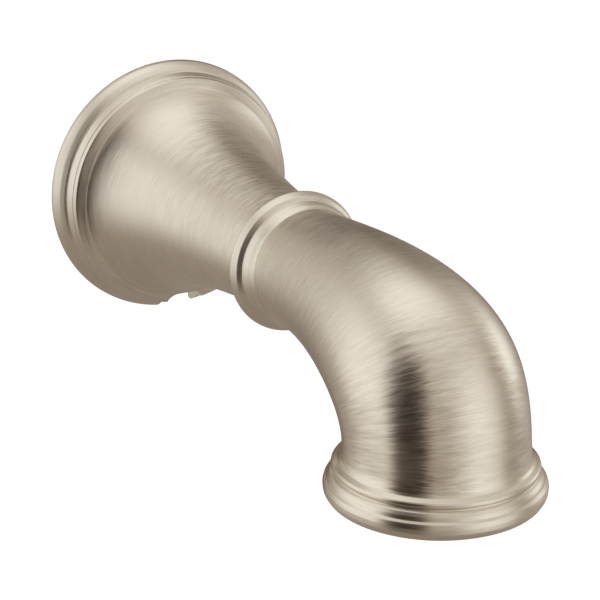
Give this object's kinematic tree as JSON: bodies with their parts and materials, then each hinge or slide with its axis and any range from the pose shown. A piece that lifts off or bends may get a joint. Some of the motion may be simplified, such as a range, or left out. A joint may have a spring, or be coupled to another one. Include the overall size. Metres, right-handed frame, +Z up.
{
  "type": "wall mounted bath spout",
  "caption": "Bent bath spout with a flared wall bell and beaded outlet that slips over a copper tube and clamps with a set screw under the flange.",
  "frame": {"origin": "on the spout's axis, in the plane of the finished wall, at the centre of the bell's rear opening", "axes": "+Y runs into the wall along the copper tube, -Y is out into the room, +Z is up and the outlet faces down along -Z"},
  "size_m": [0.0758, 0.1821, 0.0768],
  "materials": {
    "bell": "brushed warm nickel plate",
    "clamp_shoe": "machined brass",
    "collar_gasket": "red fibre",
    "collar_ring": "brushed warm nickel plate",
    "flow_disc": "white acetal",
    "hub_support": "natural nylon",
    "index_pin": "bright steel",
    "inlet_hub": "as cast and turned brass",
    "neck_gasket": "red fibre",
    "nose": "brushed warm nickel plate",
    "outlet_ring": "brushed warm nickel plate",
    "outlet_seal": "black nitrile",
    "outlet_washer": "black rubber",
    "set_screw": "black oxide steel",
    "spanner_nut": "turned brass",
    "spigot_seal_front": "black nitrile",
    "spigot_seal_rear": "black nitrile",
    "stop_washer": "red fibre",
    "thrust_washer": "zinc plated steel",
    "tube_seal_front": "black nitrile",
    "tube_seal_rear": "black nitrile",
    "wall_gasket": "closed cell foam"
  },
  "bodies": {
    "spout": {"bell": "bell", "collar_gasket": "collar_gasket", "collar_ring": "collar_ring", "flow_disc": "flow_disc", "hub_support": "hub_support", "index_pin": "index_pin", "inlet_hub": "inlet_hub", "neck_gasket": "neck_gasket", "nose": "nose", "outlet_ring": "outlet_ring", "outlet_seal": "outlet_seal", "outlet_washer": "outlet_washer", "spanner_nut": "spanner_nut", "spigot_seal_front": "spigot_seal_front", "spigot_seal_rear": "spigot_seal_rear", "stop_washer": "stop_washer", "thrust_washer": "thrust_washer", "tube_seal_front": "tube_seal_front", "tube_seal_rear": "tube_seal_rear", "wall_gasket": "wall_gasket"},
    "shoe": {"clamp_shoe": "clamp_shoe"},
    "screw": {"set_screw": "set_screw"}
  },
  "joints": [
    {"name": "shoe_slide", "type": "slide", "parent": "spout", "child": "shoe", "axis": [0, 0, 1], "range_m": [0, 0.00191]},
    {"name": "screw_turn", "type": "hinge", "parent": "shoe", "child": "screw", "pos_m": [0, -0.0085, -0.015], "axis": [0, 0, 1], "range_deg": [0, 540]}
  ],
  "couplings": [
    {"joint": "screw_turn", "follows": "shoe_slide", "rad_per_m": 4947.4}
  ]
}
